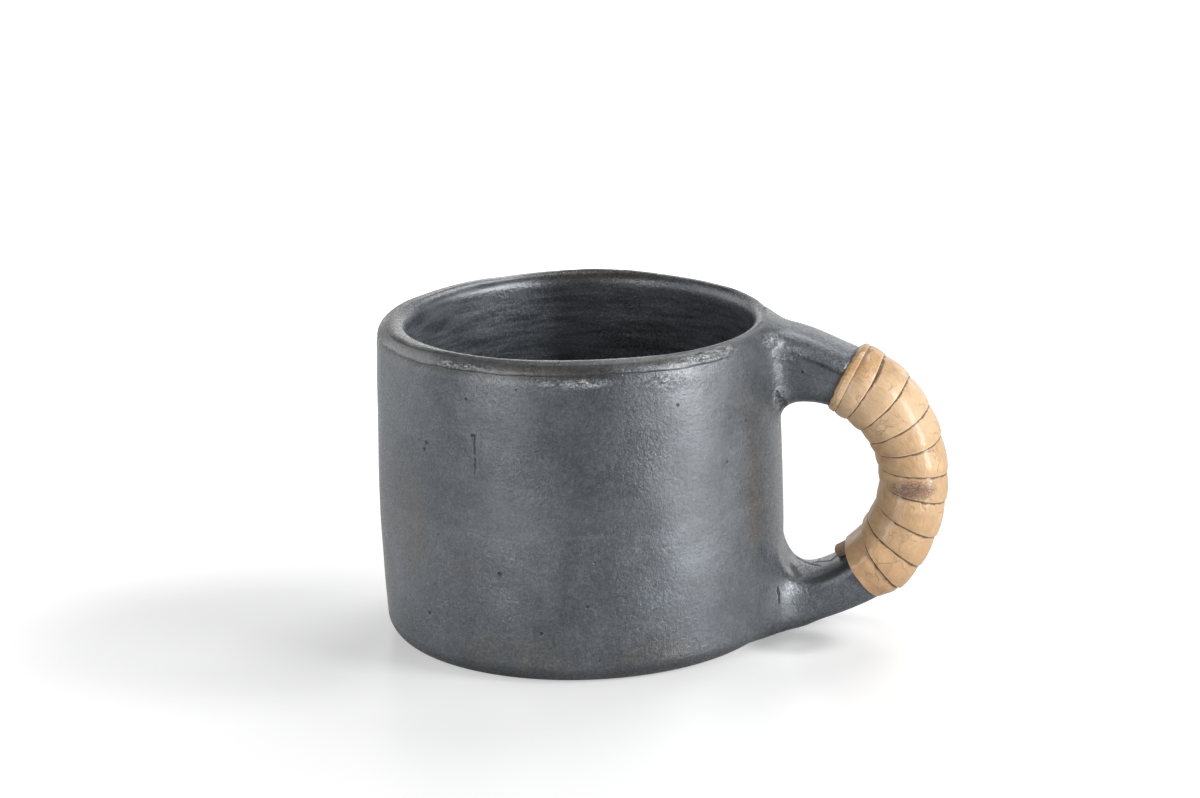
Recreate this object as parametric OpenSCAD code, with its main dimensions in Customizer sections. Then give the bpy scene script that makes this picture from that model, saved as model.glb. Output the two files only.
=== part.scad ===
// A hand-built clay cup with one looped handle, whose grip is bound in a flat strip of hide.
// The cup stands on z = 0 with its axis on Z, and the handle points along +X.

/* [Cup] */
// Outer diameter of the cup where it is widest
cup_d = 96; // [86:1:110]
// Height from the table to the top of the rim
cup_h = 75.4; // [68:0.2:90]
// Height at which the wall is widest
wide_z = 34; // [24:1:40]
// How far the wall has leaned in by the rim
rim_lean = 1.2; // [0.6:0.1:3]
// Thickness of the wall
wall_t = 6; // [4.5:0.25:8]
// Thickness of the floor
floor_t = 7; // [5:0.25:10]
// Radius of the rounded edge round the base
base_round = 7; // [4:0.5:10]
// Radius of the rounding between floor and wall inside
inner_round = 12; // [6:0.5:16]

/* [Handle] */
// Reach of the handle's centreline beyond the widest wall
handle_reach = 31.1; // [28:0.1:38]
// Drop from the rim to the centreline of the upper root
upper_root_drop = 8.6; // [8:0.2:12]
// Height of the centreline of the lower root above the table
lower_root_rise = 5.4; // [5:0.2:9]
// Slope of the upper arm at its root, in degrees
upper_root_slope = 8; // [4:1:12]
// Slope of the upper arm where the bend begins, in degrees
upper_bend_slope = 25; // [18:1:30]
// Slope of the lower arm at its root, in degrees
lower_root_slope = 6; // [2:1:10]
// Slope of the lower arm where the bend ends, in degrees
lower_bend_slope = 26; // [20:1:32]
// Thickness of the upper arm at its root, across the loop
upper_root_t = 19; // [16:0.25:20]
// Thickness of the upper arm beside the binding, across the loop
upper_arm_t = 15; // [13:0.25:17]
// Thickness of the lower arm, across the loop
lower_arm_t = 13.8; // [12:0.2:15]
// Width of the bare clay arms
arm_w = 18.2; // [15:0.2:21]
// Thickness of the clay under the binding
grip_t = 12; // [10.5:0.1:13]
// Width of the clay under the binding
grip_w = 17.2; // [15:0.2:19]
// Radius with which the roots run out on the cup's wall
root_fillet = 6.5; // [3:0.5:8]
// Radius in the upper corner of the finger hole
upper_hole_fillet = 4.5; // [2:0.5:6]
// Radius in the lower corner of the finger hole
lower_hole_fillet = 8; // [4:0.5:9]
// Gap left between the lower arm and the table
foot_gap = 0.8; // [0.4:0.1:1.5]

/* [Binding] */
// Bare length of the upper arm's centreline, from the wall to the binding
upper_bare = 15.6; // [12:0.2:20]
// Bare length of the lower arm's centreline, from the binding to the wall
lower_bare = 20.6; // [17:0.2:26]
// Width of the strip of hide
strip_w = 9.4; // [8.5:0.1:10.5]
// Thickness of the strip
strip_t = 0.6; // [0.5:0.05:0.8]
// Clearance between the strip and the clay
strip_seat = 0.3; // [0.25:0.05:0.4]
// Clearance between one turn and the turn that it overlaps
turn_gap = 0.6; // [0.55:0.05:0.7]
// Width of the strip's tucked end
tail_w = 4.6; // [3:0.2:6]
// Length of the tucked end that lies under the turns
tail_run = 10; // [8:0.5:16]
// Length of the tucked end that shows below the first turn
tail_show = 2.2; // [1:0.2:4]

/* [Hidden] */

clay_colour = [0.30, 0.31, 0.32];
hide_colour = [0.86, 0.68, 0.47];
tail_colour = [0.62, 0.45, 0.30];
$fn = 96;

// The wall leans along one large arc, whose centre lies far beyond the axis
cup_r = cup_d/2;
lip_r = wall_t/2;
lip_z = cup_h - lip_r;
lean_rise = lip_z - wide_z;
wall_arc_r = (lean_rise*lean_rise + rim_lean*rim_lean)/(2*rim_lean);
wall_arc_x = cup_r - wall_arc_r;
lip_x = wall_arc_x + sqrt(pow(wall_arc_r - lip_r, 2) - lean_rise*lean_rise);
lip_angle = atan2(lean_rise, lip_x - wall_arc_x);
base_x = wall_arc_x + sqrt(pow(wall_arc_r - base_round, 2) - pow(wide_z - base_round, 2));
base_angle = atan2(base_round - wide_z, base_x - wall_arc_x);
base_top = base_round + base_round*sin(base_angle);
bowl_arc_r = wall_arc_r - wall_t;
bowl_z = floor_t + inner_round;
bowl_x = wall_arc_x + sqrt(pow(bowl_arc_r - inner_round, 2) - pow(wide_z - bowl_z, 2));
bowl_angle = atan2(bowl_z - wide_z, bowl_x - wall_arc_x);

// Points along the wall's arc, or along its inner face, from one angle up to the next
wall_steps = 10;
function wall_points(radius, from, to) = [for (i = [0 : wall_steps])
    let (angle = from + (to - from)*i/wall_steps)
    [wall_arc_x + radius*cos(angle), wide_z + radius*sin(angle)]];

// The rounded corner round the base and the rounded lip, in half section
module outer_rounds() {
    intersection() {
        translate([base_x, base_round])
            circle(r = base_round);
        translate([base_x, 0])
            square([cup_r, base_top]);
    }
    translate([lip_x, lip_z])
        circle(r = lip_r);
}

// Half section of the cup with its hollow filled up to the lip's centre
module filled_outline() {
    polygon(concat(
        [[0, 0], [base_x, 0]],
        wall_points(wall_arc_r, base_angle, lip_angle),
        [[lip_x, lip_z], [0, lip_z]]));
    outer_rounds();
}

// Half section of the wall and the floor
module cup_outline() {
    difference() {
        union() {
            polygon(concat(
                [[0, 0], [base_x, 0]],
                wall_points(wall_arc_r, base_angle, lip_angle),
                wall_points(bowl_arc_r, lip_angle, bowl_angle),
                [[bowl_x, floor_t], [0, floor_t]]));
            outer_rounds();
        }
        translate([bowl_x, bowl_z])
            circle(r = inner_round);
    }
}

module cup_body() {
    color(clay_colour)
        rotate_extrude()
            cup_outline();
}

// The handle's centreline is three arcs that turn the same way: upper arm, bend and lower arm.
// The upper root's direction slopes down from the wall, and turn is the angle turned since level.
root_x = cup_r - wall_t;
upper_root_z = cup_h - upper_root_drop;
reach_run = cup_r + handle_reach - root_x;
upper_fall = tan((upper_bend_slope + upper_root_slope)/2);
lower_fall = tan((lower_bend_slope + lower_root_slope)/2);
bend_span = cos(upper_bend_slope) + cos(lower_bend_slope)
    - upper_fall*(1 - sin(upper_bend_slope)) - lower_fall*(1 - sin(lower_bend_slope));
bend_r = (upper_root_z - lower_root_rise - (upper_fall + lower_fall)*reach_run)/bend_span;
upper_arc_r = (reach_run - bend_r*(1 - sin(upper_bend_slope)))
    /(sin(upper_bend_slope) - sin(upper_root_slope));
lower_arc_r = (reach_run - bend_r*(1 - sin(lower_bend_slope)))
    /(sin(lower_bend_slope) - sin(lower_root_slope));
upper_run = arc_run(upper_arc_r, upper_bend_slope - upper_root_slope);
bend_run = arc_run(bend_r, 180 - lower_bend_slope - upper_bend_slope);
lower_run = arc_run(lower_arc_r, lower_bend_slope - lower_root_slope);
handle_run = upper_run + bend_run + lower_run;
upper_centre = [root_x, upper_root_z] - upper_arc_r*heading_normal(upper_root_slope);
bend_centre = upper_centre + (upper_arc_r - bend_r)*heading_normal(upper_bend_slope);
lower_centre = bend_centre + (bend_r - lower_arc_r)*heading_normal(180 - lower_bend_slope);

function arc_run(radius, angle) = radius*angle*PI/180;
function heading_normal(turn) = [sin(turn), cos(turn)];
function turn_at(s) =
    s < upper_run ? upper_root_slope + s/upper_arc_r*180/PI
    : s < upper_run + bend_run ? upper_bend_slope + (s - upper_run)/bend_r*180/PI
    : 180 - lower_bend_slope + (s - upper_run - bend_run)/lower_arc_r*180/PI;
function centre_at(s) =
    s < upper_run ? upper_centre + upper_arc_r*heading_normal(turn_at(s))
    : s < upper_run + bend_run ? bend_centre + bend_r*heading_normal(turn_at(s))
    : lower_centre + lower_arc_r*heading_normal(turn_at(s));

function share_of(value, low, high) = min(1, max(0, (value - low)/(high - low)));
function ease(share) = share*share*(3 - 2*share);
function blend(low, high, share) = low + (high - low)*ease(share);

// Stretches of the centreline: the wall is passed at wall_in_s and again at wall_out_s
wall_in_s = wall_t/cos(upper_root_slope);
wall_out_s = handle_run - wall_t/cos(lower_root_slope);
bind_s = wall_in_s + upper_bare;
bind_end_s = wall_out_s - lower_bare;
bind_run = bind_end_s - bind_s;
// The clay draws in just before the binding and under it, over these shares of the binding's run
neck_before = 0.035*bind_run;
neck_under = 0.07*bind_run;

function bare_at(s) = s < handle_run/2
    ? share_of(bind_s + neck_under - s, 0, neck_before + neck_under)
    : share_of(s - bind_end_s + neck_under, 0, neck_before + neck_under);
// The upper root's extra thickness lies mostly on the side of the finger hole
root_hole_share = 0.58;
function arm_half_at(s, hole_share) = s < handle_run/2
    ? blend(upper_root_t*hole_share, upper_arm_t/2, share_of(s, wall_in_s, bind_s))
    : lower_arm_t/2;
function half_t_at(s, hole_share) = blend(grip_t/2, arm_half_at(s, hole_share), bare_at(s));
function half_w_at(s) = blend(grip_w, arm_w, bare_at(s))/2;

// A fillet's spread at a distance from the wall that it runs out on
function spread(distance, radius) = distance >= radius ? 0
    : radius - sqrt(radius*radius - pow(radius - max(0, distance), 2));
root_side_x = sqrt(cup_r*cup_r - pow(arm_w/2 + root_fillet/2, 2));
function hole_fillet_at(s) = s < handle_run/2 ? upper_hole_fillet : lower_hole_fillet;
function side_half_at(s) = half_w_at(s) + spread(centre_at(s)[0] - root_side_x, root_fillet);
function hole_half_at(s) = half_t_at(s, root_hole_share)
    + spread(centre_at(s)[0] - cup_r, hole_fillet_at(s));
function outer_half_at(s) = let (half = half_t_at(s, 1 - root_hole_share))
    s < handle_run/2 ? half : min(half, (centre_at(s)[1] - foot_gap)/abs(cos(turn_at(s))));

// The section is a rounded lens: around = 0 faces out of the loop, 90 the front, 180 the hole
section_power = 2.3;
function rounded(c) = sign(c)*pow(abs(c), 2/section_power);
function skin_point(s, around, off) = let (
        n = heading_normal(turn_at(s)),
        c = centre_at(s),
        half = cos(around) > 0 ? outer_half_at(s) : hole_half_at(s),
        out = (half + off)*rounded(cos(around)),
        side = -(side_half_at(s) + off)*rounded(sin(around)))
    [c[0] + out*n[0], side, c[1] + out*n[1]];

// Closed skin over rings of equally many points, whose order runs left about the path
module loft(rings) {
    sides = len(rings[0]);
    last = len(rings) - 1;
    points = [for (ring = rings) each ring];
    walls = [for (i = [0 : last - 1], j = [0 : sides - 1]) let (
            a = i*sides + j,
            b = i*sides + (j + 1)%sides,
            c = a + sides,
            d = b + sides)
        each [[a, b, d], [a, d, c]]];
    start_cap = [for (j = [1 : sides - 2]) [0, j + 1, j]];
    end_cap = [for (j = [1 : sides - 2]) [last*sides, last*sides + j, last*sides + j + 1]];
    polyhedron(points = points, faces = concat(walls, start_cap, end_cap), convexity = 8);
}

// Rings lie closest near the roots, where the fillets run out
handle_rings = 48;
handle_sides = 24;
crowding_share = 0.62;
function ring_s(i) = let (t = i/handle_rings)
    handle_run*(t - crowding_share*sin(360*t)/(2*PI));

module handle() {
    color(clay_colour)
        difference() {
            loft([for (i = [0 : handle_rings])
                [for (j = [0 : handle_sides - 1]) skin_point(ring_s(i), -360*j/handle_sides, 0)]]);
            rotate_extrude()
                filled_outline();
        }
}

// Lower edge of each turn as shares of the bound run, first where it crosses the outer side of
// the loop and then the side of the hole, from the first turn at the bottom to the last on top
turn_edge_shares = [
    [1.000, 1.000],
    [0.940, 0.862],
    [0.846, 0.796],
    [0.737, 0.671],
    [0.612, 0.540],
    [0.523, 0.448],
    [0.402, 0.364],
    [0.302, 0.300],
    [0.195, 0.202],
    [0.094, 0.096],
    [0.036, 0.034]];
// Width of the strip at the same places, as shares of its full width: the last turns taper
turn_width_shares = [
    [0.70, 1.12],
    [1.00, 1.00],
    [1.00, 1.00],
    [1.00, 1.00],
    [1.00, 1.00],
    [1.00, 1.00],
    [1.00, 1.00],
    [1.00, 0.99],
    [0.97, 0.92],
    [0.54, 0.52],
    [0.30, 0.28]];
turns = len(turn_edge_shares);
turn_rings = 24;
// The strip starts and ends on the back, where the photographed side doesn't show it
first_ring = -4;
last_ring = turn_rings*turns - 7;

// Smooth curve through the values at every half turn
function half_turn_value(table, h) = let (
        top = 2*len(table) - 1,
        i = min(top, max(0, h)))
    table[floor(i/2)][i%2];
function wave(table, halves) = let (
        i = floor(halves),
        t = halves - i,
        a = half_turn_value(table, i - 1),
        b = half_turn_value(table, i),
        c = half_turn_value(table, i + 1),
        d = half_turn_value(table, i + 2))
    b + t*((c - a)/2 + t*((a - 5*b/2 + 2*c - d/2) + t*(3*b - 3*c + d - a)/2));
function halves_at(ring) = 2*ring/turn_rings;
function low_edge_s(ring) = bind_s + bind_run*wave(turn_edge_shares, halves_at(ring));
strip_run_w = strip_w*bend_r/(bend_r + grip_t/2 + strip_t);
function strip_run_at(ring) = strip_run_w*wave(turn_width_shares, halves_at(ring));
function high_edge_s(ring) = low_edge_s(ring) - strip_run_at(ring);

// A turn lies on the clay at its upper edge and rides up over the turn below at its lower edge
layer_rise = strip_t + turn_gap;
// The first turn climbs onto the strip's start between these shares of a turn
climb_shares = [0.5, 0.8];
// It clears both the upper edge of that turn and the part of its slope that it covers
function ride_at(ring) = let (
        below = max(ring - turn_rings, first_ring),
        step = high_edge_s(below) - high_edge_s(ring),
        width = strip_run_at(ring),
        covered_share = max(0, width - step)/strip_run_at(below),
        climb = ease(share_of(ring, turn_rings*climb_shares[0], turn_rings*climb_shares[1])))
    climb == 0 ? 0
    : climb*max(layer_rise*width/step, layer_rise + ride_at(below)*covered_share);
rides = [for (ring = [first_ring : last_ring]) ride_at(ring)];

// Over the tucked end the turns stand off by its thickness and a clearance. They come down again
// between these multiples of its width, to either side of its middle and beyond its inner end.
tail_s = bind_end_s - tail_run;
tail_rise = strip_t + strip_seat;
tail_beside = [0.7, 1.5];
tail_beyond = [0.4, 1.5];
function over_tail(s, around) = let (
        side = abs(side_half_at(s)*rounded(sin(around))),
        across = cos(around) < 0
            ? 1 - ease(share_of(side, tail_w*tail_beside[0], tail_w*tail_beside[1])) : 0,
        along = 1 - ease(share_of(tail_s - s, tail_w*tail_beyond[0], tail_w*tail_beyond[1])))
    tail_rise*across*along;

function strip_point(ring, across, lift) = let (
        around = 360*ring/turn_rings,
        s = high_edge_s(ring) + across*strip_run_at(ring),
        off = strip_seat + over_tail(s, around) + across*rides[ring - first_ring] + lift)
    skin_point(s, around, off);
function strip_ring(ring) = [
    strip_point(ring, 0, 0),
    strip_point(ring, 0, strip_t),
    strip_point(ring, 0.5, strip_t),
    strip_point(ring, 1, strip_t),
    strip_point(ring, 1, 0),
    strip_point(ring, 0.5, 0)];

module handle_wrap() {
    color(hide_colour)
        loft([for (ring = [first_ring : last_ring]) strip_ring(ring)]);
}

// Least distance from the under side of each turn to the upper side of the turn that it covers
gap_steps = 6;
turn_gaps = [for (ring = [first_ring + turn_rings : last_ring]) let (
        below = ring - turn_rings,
        over = [for (i = [0 : gap_steps]) strip_point(ring, i/gap_steps, 0)],
        under = [for (k = [max(first_ring, below - 1) : below + 1], i = [0 : gap_steps])
            strip_point(k, i/gap_steps, strip_t)])
    min([for (p = over, q = under) norm(p - q)])];
echo(least_gap_between_turns = min(turn_gaps));

// The tucked end lies along the hole side of the clay, under the first turns laid over it
tail_rings = 12;
function flank(s, side) = let (
        width = side_half_at(s),
        depth = pow(1 - pow(abs(side)/width, section_power), 1/section_power))
    hole_half_at(s)*depth;
function tail_point(s, side, lift) = let (
        n = heading_normal(turn_at(s)),
        c = centre_at(s),
        out = -(flank(s, side) + lift))
    [c[0] + out*n[0], -side, c[1] + out*n[1]];
function tail_ring(s) = [
    tail_point(s, -tail_w/2, strip_seat),
    tail_point(s, -tail_w/2, tail_rise),
    tail_point(s, 0, tail_rise),
    tail_point(s, tail_w/2, tail_rise),
    tail_point(s, tail_w/2, strip_seat),
    tail_point(s, 0, strip_seat)];

module strip_tail() {
    color(tail_colour)
        loft([for (i = [0 : tail_rings])
            tail_ring(tail_s + (tail_run + tail_show)*i/tail_rings)]);
}

cup_body();
handle();
handle_wrap();
strip_tail();
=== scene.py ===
import math

import bpy
import numpy as np
from mathutils import Matrix, Vector


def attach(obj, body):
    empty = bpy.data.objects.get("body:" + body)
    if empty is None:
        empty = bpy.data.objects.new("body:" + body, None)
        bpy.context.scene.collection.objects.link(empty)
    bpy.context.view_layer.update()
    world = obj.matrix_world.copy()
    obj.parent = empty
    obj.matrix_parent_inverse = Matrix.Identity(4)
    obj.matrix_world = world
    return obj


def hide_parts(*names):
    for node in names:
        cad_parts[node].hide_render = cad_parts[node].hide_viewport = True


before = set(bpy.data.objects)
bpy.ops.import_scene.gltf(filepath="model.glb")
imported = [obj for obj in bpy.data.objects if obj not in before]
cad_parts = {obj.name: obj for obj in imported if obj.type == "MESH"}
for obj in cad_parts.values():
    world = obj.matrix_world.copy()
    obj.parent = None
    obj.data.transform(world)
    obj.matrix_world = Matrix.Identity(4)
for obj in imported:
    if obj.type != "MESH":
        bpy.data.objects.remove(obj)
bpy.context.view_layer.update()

MM = 0.001

# Camera
# Fitted to the mug's outline in a frame of 1200 x 798 pixels.
FRAME_WIDE = 1200
LENS = 100.0
SENSOR = 36.0
FOCAL = FRAME_WIDE * LENS / SENSOR
CAMERA_FAR = 0.79187
CAMERA_TARGET = (0.0, 0.0, 0.038)
# Where the target lies in the picture, in pixels right of and below its middle
TARGET_PIXEL = (-21.06, 66.03)
PITCH = math.radians(15.73)
ROLL = math.radians(1.78)
YAW = math.radians(7.0)
CLIP = (0.05, 30)


def camera_direction(x, y, z):
    """A direction given across, away from and above the camera's level heading, in the frame."""
    return Vector((
        x * math.cos(YAW) - y * math.sin(YAW),
        x * math.sin(YAW) + y * math.cos(YAW),
        z))


def place_camera():
    """The photograph's camera: aimed so that the target falls on its pixel, then rolled."""
    ahead = camera_direction(0, math.cos(PITCH), -math.sin(PITCH))
    right = camera_direction(1, 0, 0)
    up = right.cross(ahead)
    across, down = (v / FOCAL * CAMERA_FAR for v in TARGET_PIXEL)
    place = Vector(CAMERA_TARGET) - ahead * CAMERA_FAR - right * across + up * down
    rolled_right = right * math.cos(ROLL) - up * math.sin(ROLL)
    rolled_up = right * math.sin(ROLL) + up * math.cos(ROLL)
    data = bpy.data.cameras.new("photo_camera")
    data.lens = LENS
    data.sensor_width = SENSOR
    data.sensor_fit = "HORIZONTAL"
    data.clip_start, data.clip_end = CLIP
    camera = bpy.data.objects.new("photo_camera", data)
    turn = Matrix((rolled_right, rolled_up, -ahead)).transposed().to_4x4()
    camera.matrix_world = Matrix.Translation(place) @ turn
    bpy.context.scene.collection.objects.link(camera)
    bpy.context.scene.camera = camera


place_camera()

# Sizes of the cup, in millimetres
CUP_R = 48.0
CUP_H = 75.4
WIDE_Z = 34.0
RIM_LEAN = 1.2
WALL_T = 6.0
FLOOR_T = 7.0
BASE_ROUND = 5.0
INNER_ROUND = 12.0
LIP_FALL_OUT = 6.0
LIP_FALL_IN = 3.0
LIP_APEX_IN = 2.6

# Sizes of the handle, from its roots at the wall to its grip
# Out is the half thickness outside the loop, in the half thickness on the side of the hole.
HANDLE_REACH = 31.1
UPPER_DROP = 8.6
LOWER_RISE = 5.4
UPPER_ROOT_SLOPE = math.radians(8)
UPPER_BEND_SLOPE = math.radians(25)
LOWER_ROOT_SLOPE = math.radians(6)
LOWER_BEND_SLOPE = math.radians(26)
UPPER_ROOT_OUT, UPPER_ROOT_IN = 7.4, 11.0
UPPER_ARM_OUT, UPPER_ARM_IN = 6.4, 7.7
LOWER_ARM_OUT, LOWER_ARM_IN = 6.9, 5.3
ARM_W = 18.2
GRIP_END_OUT, GRIP_MIDDLE_OUT = 7.8, 6.3
GRIP_TOP_IN, GRIP_IN = 8.4, 7.2
GRIP_W = 18.9
UPPER_BARE = 15.6
LOWER_BARE = 20.6


# Small helpers
def share_of(value, low, high):
    return np.clip((value - low) / (high - low), 0, 1)


def ease(share):
    return share * share * (3 - 2 * share)


def ramp(value, low, high):
    return ease(share_of(value, low, high))


def mix(low, high, share):
    return low + (high - low) * share


def smooth_union(a, b, width):
    near = np.maximum(width - np.abs(a - b), 0) / width
    return np.minimum(a, b) - near * near * width / 4


class Ripple:
    """A smooth random field from -1 to 1: a few plane waves of about one length."""

    def __init__(self, seed, length, waves=14):
        draw = np.random.default_rng(seed)
        way = draw.normal(size=(waves, 3))
        way /= np.linalg.norm(way, axis=1, keepdims=True)
        self.wave = way * (2 * np.pi / (length * draw.uniform(0.7, 1.5, (waves, 1))))
        self.phase = draw.uniform(0, 2 * np.pi, waves)

    def __call__(self, x, y, z):
        total = 0
        for wave, phase in zip(self.wave, self.phase):
            total = total + np.sin(wave[0] * x + wave[1] * y + wave[2] * z + phase)
        return total / math.sqrt(len(self.phase) / 2) / 2


# The cup's half section
def arc(centre, radius, start, stop, steps=24):
    angle = np.linspace(start, stop, steps)
    return [(centre[0] + radius * np.cos(a), centre[1] + radius * np.sin(a)) for a in angle]


def curve(p0, p1, p2, p3, steps=24):
    """A cubic curve between two points, drawn to two others."""
    p0, p1, p2, p3 = map(np.array, (p0, p1, p2, p3))
    return [tuple((1 - t) ** 3 * p0 + 3 * t * (1 - t) ** 2 * p1
                  + 3 * t * t * (1 - t) * p2 + t ** 3 * p3)
            for t in np.linspace(0, 1, steps)]


LEAN_RISE = CUP_H - WALL_T / 2 - WIDE_Z
WALL_ARC_R = (LEAN_RISE ** 2 + RIM_LEAN ** 2) / (2 * RIM_LEAN)
WALL_ARC_X = CUP_R - WALL_ARC_R
BASE_X = WALL_ARC_X + math.sqrt((WALL_ARC_R - BASE_ROUND) ** 2 - (WIDE_Z - BASE_ROUND) ** 2)
BASE_ANGLE = math.atan2(BASE_ROUND - WIDE_Z, BASE_X - WALL_ARC_X)
BOWL_R = WALL_ARC_R - WALL_T
BOWL_Z = FLOOR_T + INNER_ROUND
BOWL_X = WALL_ARC_X + math.sqrt((BOWL_R - INNER_ROUND) ** 2 - (WIDE_Z - BOWL_Z) ** 2)
BOWL_ANGLE = math.atan2(BOWL_Z - WIDE_Z, BOWL_X - WALL_ARC_X)
WALL_CENTRE = (WALL_ARC_X, WIDE_Z)
FAR_ABOVE = 130.0
# The lip falls further outside than inside, so its top lies near its inner edge
LIP_OUT_ANGLE = math.asin((CUP_H - LIP_FALL_OUT - WIDE_Z) / WALL_ARC_R)
LIP_OUT = np.array([WALL_ARC_X + WALL_ARC_R * math.cos(LIP_OUT_ANGLE), CUP_H - LIP_FALL_OUT])
LIP_IN_ANGLE = math.asin((CUP_H - LIP_FALL_IN - WIDE_Z) / BOWL_R)
LIP_IN = np.array([WALL_ARC_X + BOWL_R * math.cos(LIP_IN_ANGLE), CUP_H - LIP_FALL_IN])
LIP_TOP = np.array([LIP_IN[0] + LIP_APEX_IN, CUP_H])
# Share of a quarter's width at which a cubic curve is near an ellipse
ROUND = 0.56

OUTSIDE = (
    [(0, 0)]
    + arc((BASE_X, BASE_ROUND), BASE_ROUND, -math.pi / 2, BASE_ANGLE)
    + arc(WALL_CENTRE, WALL_ARC_R, BASE_ANGLE, LIP_OUT_ANGLE)
    + curve(LIP_OUT, LIP_OUT + (0, LIP_FALL_OUT * ROUND),
            LIP_TOP + ((LIP_OUT - LIP_TOP)[0] * ROUND, 0), LIP_TOP)
    + [(0, CUP_H)])
HOLLOW = (
    [(0, FLOOR_T)]
    + arc((BOWL_X, BOWL_Z), INNER_ROUND, -math.pi / 2, BOWL_ANGLE)
    + arc(WALL_CENTRE, BOWL_R, BOWL_ANGLE, LIP_IN_ANGLE)
    + curve(LIP_IN, LIP_IN + (0, LIP_FALL_IN * ROUND),
            LIP_TOP - (LIP_APEX_IN * ROUND, 0), LIP_TOP)
    + [(LIP_TOP[0], FAR_ABOVE), (0, FAR_ABOVE)])


class HalfSection:
    """Signed distance to a closed outline in (distance from the axis, height)."""
    STEP = 0.25
    LOW = (-2.0, -12.0)
    HIGH = (70.0, 100.0)

    def __init__(self, outline):
        r, z = (np.arange(self.LOW[i], self.HIGH[i], self.STEP) for i in (0, 1))
        rr, zz = np.meshgrid(r, z, indexing="ij")
        # The outline is closed by its mirror image, so that the axis isn't an edge
        ring = np.array(outline + [(-x, y) for x, y in reversed(outline) if x > 0])
        inside = np.zeros(rr.shape, bool)
        nearest = np.full(rr.shape, np.inf)
        for a, b in zip(ring, np.roll(ring, -1, 0)):
            edge = b - a
            length = edge @ edge
            if length == 0:
                continue
            t = np.clip(((rr - a[0]) * edge[0] + (zz - a[1]) * edge[1]) / length, 0, 1)
            far = (rr - a[0] - t * edge[0]) ** 2 + (zz - a[1] - t * edge[1]) ** 2
            nearest = np.minimum(nearest, far)
            if a[1] != b[1]:
                crosses = (a[1] > zz) != (b[1] > zz)
                inside ^= crosses & (rr < a[0] + (zz - a[1]) * edge[0] / edge[1])
        self.table = np.sqrt(nearest) * np.where(inside, -1, 1)

    def __call__(self, r, z):
        i = np.clip((r - self.LOW[0]) / self.STEP, 0, self.table.shape[0] - 1.001)
        j = np.clip((z - self.LOW[1]) / self.STEP, 0, self.table.shape[1] - 1.001)
        a, b = i.astype(int), j.astype(int)
        u, v = i - a, j - b
        t = self.table
        return ((t[a, b] * (1 - v) + t[a, b + 1] * v) * (1 - u)
                + (t[a + 1, b] * (1 - v) + t[a + 1, b + 1] * v) * u)


# The handle's centreline
# Three arcs that turn the same way. turn is the angle turned since level.
def outward(turn):
    return np.array([np.sin(turn), np.cos(turn)])


ROOT_X = CUP_R - WALL_T
UPPER_ROOT = np.array([ROOT_X, CUP_H - UPPER_DROP])
REACH_RUN = CUP_R + HANDLE_REACH - ROOT_X
UPPER_FALL = math.tan((UPPER_BEND_SLOPE + UPPER_ROOT_SLOPE) / 2)
LOWER_FALL = math.tan((LOWER_BEND_SLOPE + LOWER_ROOT_SLOPE) / 2)
BEND_R = (UPPER_ROOT[1] - LOWER_RISE - (UPPER_FALL + LOWER_FALL) * REACH_RUN) / (
    math.cos(UPPER_BEND_SLOPE) + math.cos(LOWER_BEND_SLOPE)
    - UPPER_FALL * (1 - math.sin(UPPER_BEND_SLOPE))
    - LOWER_FALL * (1 - math.sin(LOWER_BEND_SLOPE)))
UPPER_ARC_R = (REACH_RUN - BEND_R * (1 - math.sin(UPPER_BEND_SLOPE))) / (
    math.sin(UPPER_BEND_SLOPE) - math.sin(UPPER_ROOT_SLOPE))
LOWER_ARC_R = (REACH_RUN - BEND_R * (1 - math.sin(LOWER_BEND_SLOPE))) / (
    math.sin(LOWER_BEND_SLOPE) - math.sin(LOWER_ROOT_SLOPE))
TURNS = (UPPER_ROOT_SLOPE, UPPER_BEND_SLOPE,
         math.pi - LOWER_BEND_SLOPE, math.pi - LOWER_ROOT_SLOPE)
ARC_R = (UPPER_ARC_R, BEND_R, LOWER_ARC_R)
UPPER_CENTRE = UPPER_ROOT - UPPER_ARC_R * outward(UPPER_ROOT_SLOPE)
BEND_CENTRE = UPPER_CENTRE + (UPPER_ARC_R - BEND_R) * outward(UPPER_BEND_SLOPE)
LOWER_CENTRE = BEND_CENTRE + (BEND_R - LOWER_ARC_R) * outward(math.pi - LOWER_BEND_SLOPE)
ARC_CENTRE = (UPPER_CENTRE, BEND_CENTRE, LOWER_CENTRE)
ARC_END = np.cumsum([r * (b - a) for r, a, b in zip(ARC_R, TURNS, TURNS[1:])])
ARC_START = np.array([0, *ARC_END[:2]])
HANDLE_RUN = ARC_END[-1]
WALL_IN_S = WALL_T / math.cos(UPPER_ROOT_SLOPE)
WALL_OUT_S = HANDLE_RUN - WALL_T / math.cos(LOWER_ROOT_SLOPE)
BIND_S = WALL_IN_S + UPPER_BARE
BIND_END_S = WALL_OUT_S - LOWER_BARE
BIND_RUN = BIND_END_S - BIND_S
NECK_UNDER = 0.05 * BIND_RUN
# Clay and strip step in where the binding ends above, so that they lie nearly flush there:
# depth, and start after the end
CLAY_RECESS, STRIP_RECESS = (0.9, 0.2), (0.5, -0.8)
RECESS_EDGE = 0.7
RECESS_RUN, RECESS_FADE = 12.0, 9.0
# Slant of the binding's upper end, as shares of the bound run: its mean, outside and front
END_MIDDLE, END_OUTER, END_FRONT = -0.008, 0.009, -0.011
# The tucked end: its thickness and width, how far it shows beyond the first turn, and how far
# under the turns they start to lift over it and are fully lifted
TUCK_T = 1.6
TUCK_W = 5.0
TUCK_SHOW = 4.6
TUCK_RUN = 12.0
TUCK_FULL = 3.0
# Power of the swept section: 2 is an ellipse, more is nearer a rounded rectangle
GRIP_POWER, ARM_POWER = 2.3, 3.0


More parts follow.
